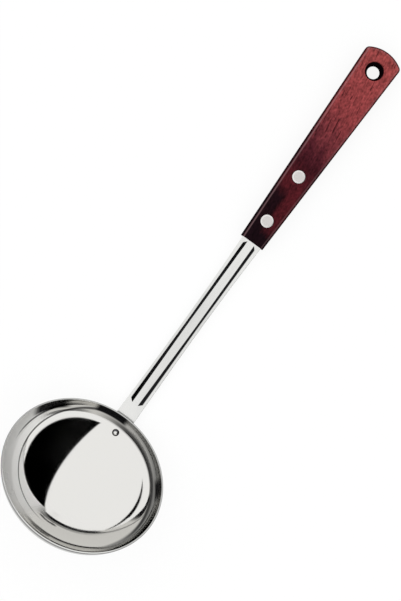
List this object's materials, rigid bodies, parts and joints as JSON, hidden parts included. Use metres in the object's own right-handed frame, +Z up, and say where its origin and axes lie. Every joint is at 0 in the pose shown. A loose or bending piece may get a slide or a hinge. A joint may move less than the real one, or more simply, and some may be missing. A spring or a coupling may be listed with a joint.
{
  "type": "ladle",
  "caption": "Kitchen ladle: round polished steel bowl riveted to a stamped steel shank with a pressed channel, and a tapered red-stained wooden handle with a hanging hole.",
  "frame": {"origin": "bottom centre of the bounding box, with the ladle lying on its back on a table", "axes": "+X along the ladle from the bowl towards the handle's end, +Z up from the table, bowl opening upwards and towards +X; the XZ plane is the plane of symmetry"},
  "size_m": [0.336, 0.095, 0.0643],
  "materials": {
    "polished_steel": "mirror polished",
    "strip_steel": "polished",
    "rivet_steel": "polished dome",
    "stained_wood": "satin red stain, darker near the shank",
    "rivet_aluminium": "satin, ground flush"
  },
  "bodies": {
    "root": {"bowl": "polished_steel", "shank": "strip_steel", "bowl_rivet": "rivet_steel", "handle": "stained_wood", "lower_handle_rivet": "rivet_aluminium", "upper_handle_rivet": "rivet_aluminium"}
  },
  "joints": []
}
